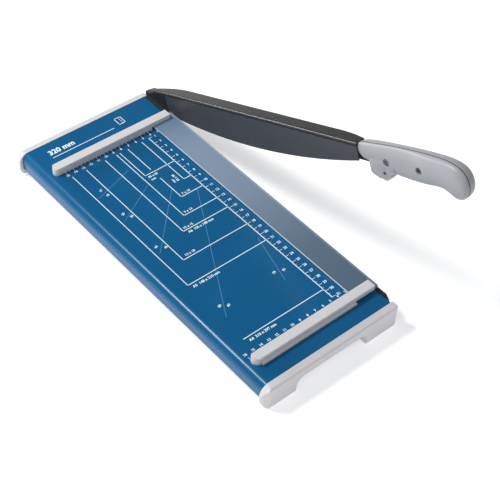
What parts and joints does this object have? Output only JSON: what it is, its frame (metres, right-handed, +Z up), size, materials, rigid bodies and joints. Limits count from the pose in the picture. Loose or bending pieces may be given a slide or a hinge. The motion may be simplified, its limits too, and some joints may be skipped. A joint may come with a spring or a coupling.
{
  "type": "lever-arm paper trimmer",
  "caption": "Guillotine paper trimmer: bowed knife on a hinged arm with a handle, a printed alignment table, paper fences, a clear finger guard and moulded end caps.",
  "frame": {"origin": "on the desk, under the middle of the trimmer's box with its arm raised at the stored angle", "axes": "+Z up, +Y along the table towards the hinge, +X towards the knife's side"},
  "size_m": [0.1947, 0.466, 0.2298],
  "materials": {
    "blue_sheet": "satin powder coat",
    "light_plastic": "fine moulded texture",
    "handle_plastic": "smooth satin moulding",
    "rubber": "matt",
    "zinc_steel": "zinc plated",
    "black_screw": "blackened",
    "clear_plastic": "clear and polished",
    "dark_blade": "dark hardened steel, ground",
    "black_arm": "black satin enamel",
    "brass": "turned",
    "white_print": "screen-printed ink"
  },
  "bodies": {
    "base": {"table_panel": "blue_sheet", "near_end_cap": "light_plastic", "far_end_cap": "light_plastic", "rubber_pads": "rubber", "cap_screws": "zinc_steel", "weld_nuts": "zinc_steel", "far_fence": "light_plastic", "near_fence": "light_plastic", "fence_screws": "zinc_steel", "guard_spacers": "zinc_steel", "finger_guard": "clear_plastic", "fixed_blade": "dark_blade", "fixed_blade_screws": "zinc_steel", "pivot_plate": "zinc_steel", "pivot_plate_screws": "zinc_steel", "stop_pin": "zinc_steel", "pivot_bolt": "zinc_steel", "disc_spring": "zinc_steel", "pivot_washer": "zinc_steel", "pivot_nut": "zinc_steel"},
    "arm": {"pivot_bush": "brass", "blade_arm": "black_arm", "knife": "dark_blade", "knife_rivets": "dark_blade", "handle_inner_half": "handle_plastic", "handle_outer_half": "handle_plastic", "handle_screws": "black_screw", "handle_nuts": "zinc_steel", "lug_buffer": "light_plastic"}
  },
  "joints": [
    {"name": "arm_hinge", "type": "hinge", "parent": "base", "child": "arm", "pos_m": [0.07817, 0.214, 0.019], "axis": [-1, 0, 0], "range_deg": [-23.7, 36.3]}
  ]
}
